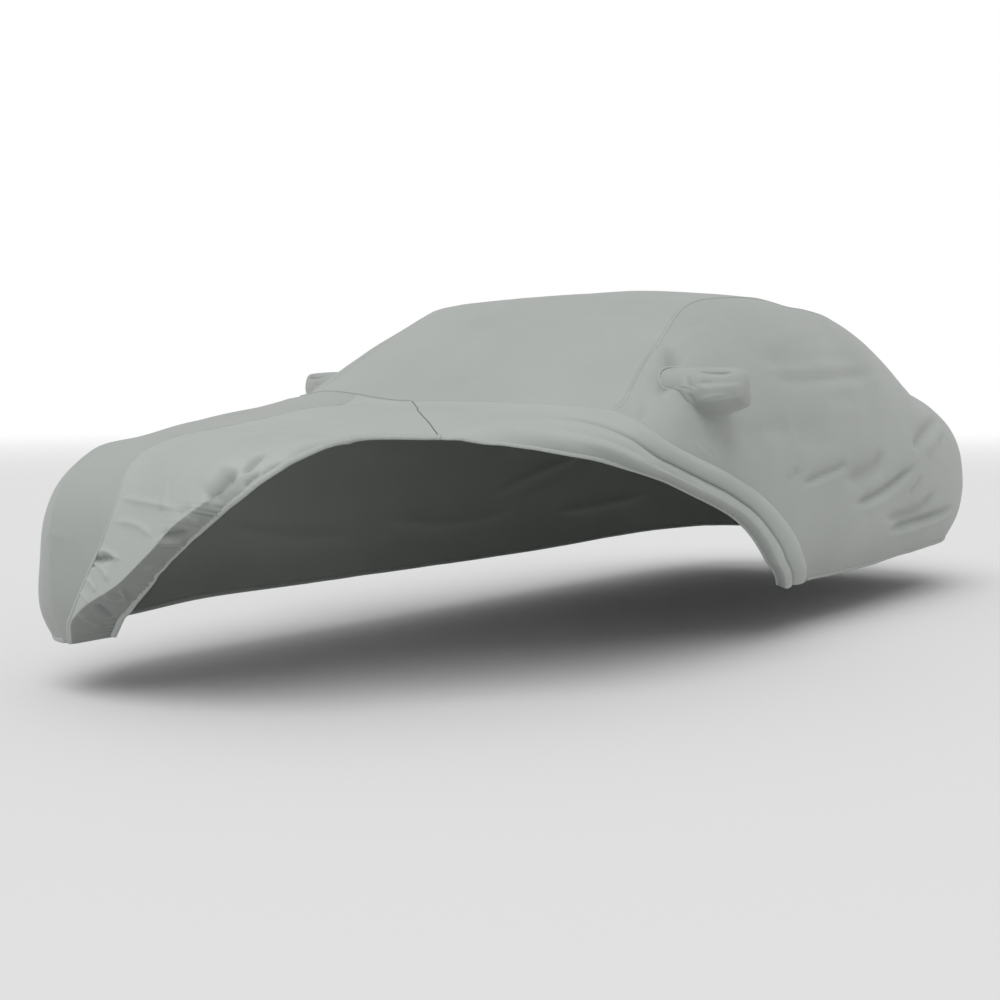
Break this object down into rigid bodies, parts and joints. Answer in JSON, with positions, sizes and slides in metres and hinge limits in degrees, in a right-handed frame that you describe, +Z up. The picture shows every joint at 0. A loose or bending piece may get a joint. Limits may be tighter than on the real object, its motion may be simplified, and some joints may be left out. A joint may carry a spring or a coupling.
{
  "type": "fitted car cover",
  "caption": "Fitted cloth cover for a long saloon, hanging as on the car with its left front corner lifted, and with a sewn pocket over each side mirror.",
  "frame": {"origin": "the point under the roof cloth where the car's roof holds the cover up, on its middle line", "axes": "-Y towards the nose, +Y towards the tail, +X towards the car's left side, +Z up"},
  "size_m": [2.184, 5.3147, 1.3231],
  "materials": {
    "cover_cloth": "matt coated cloth with a fine staggered bump weave, pale sage grey-green"
  },
  "bodies": {
    "root": {"hood_panel": "cover_cloth", "fender_panel_left": "cover_cloth", "roof_panel": "cover_cloth", "side_panel_left": "cover_cloth", "side_panel_right": "cover_cloth", "mirror_pocket_left": "cover_cloth", "mirror_pocket_right": "cover_cloth"}
  },
  "joints": []
}
